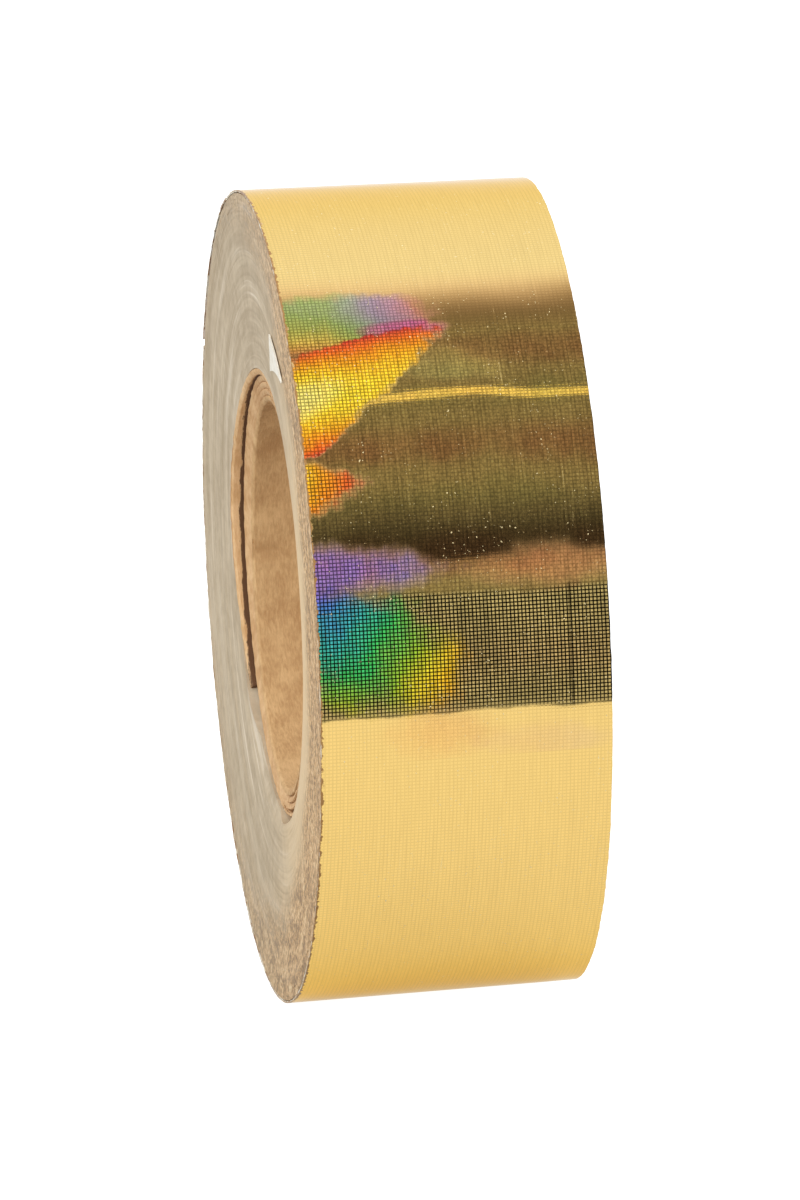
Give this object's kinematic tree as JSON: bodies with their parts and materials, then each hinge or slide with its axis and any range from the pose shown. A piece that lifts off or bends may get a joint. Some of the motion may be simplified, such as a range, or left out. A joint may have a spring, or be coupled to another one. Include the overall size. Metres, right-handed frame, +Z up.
{
  "type": "roll of sign film",
  "caption": "Narrow roll of gold holographic self-adhesive sign film wound on a paperboard core, with a free lead end that lifts and peels from its release liner.",
  "frame": {"origin": "middle of the core's bore, on the roll's axis", "axes": "+Y along the bore, from the dished end to the other end; +Z up as the roll stands on its rim"},
  "size_m": [0.0532, 0.0201, 0.0532],
  "materials": {
    "kraft_board": "matt",
    "white_paper": "matt",
    "strip_edge": "matt",
    "adhesive": "gloss",
    "gold_film": "mirror gloss, embossed"
  },
  "bodies": {
    "roll": {"core_ply_1": "kraft_board", "core_ply_2": "kraft_board", "core_ply_3": "kraft_board", "core_ply_4": "kraft_board", "core_ply_5": "kraft_board", "start_leader": "white_paper", "wound_strip": "strip_edge", "outer_liner": "white_paper", "outer_adhesive": "adhesive", "outer_film": "gold_film"},
    "lead_backing": {"lead_liner": "white_paper"},
    "lead_face": {"lead_adhesive": "adhesive", "lead_film": "gold_film"}
  },
  "joints": [
    {"name": "lead_lift", "type": "hinge", "parent": "roll", "child": "lead_backing", "pos_m": [-0.01533, 0, 0.02189], "axis": [0, 1, 0], "range_deg": [0, 80]},
    {"name": "film_peel", "type": "hinge", "parent": "lead_backing", "child": "lead_face", "pos_m": [-0.01533, 0, 0.02189], "axis": [0, 1, 0], "range_deg": [0, 60]}
  ]
}
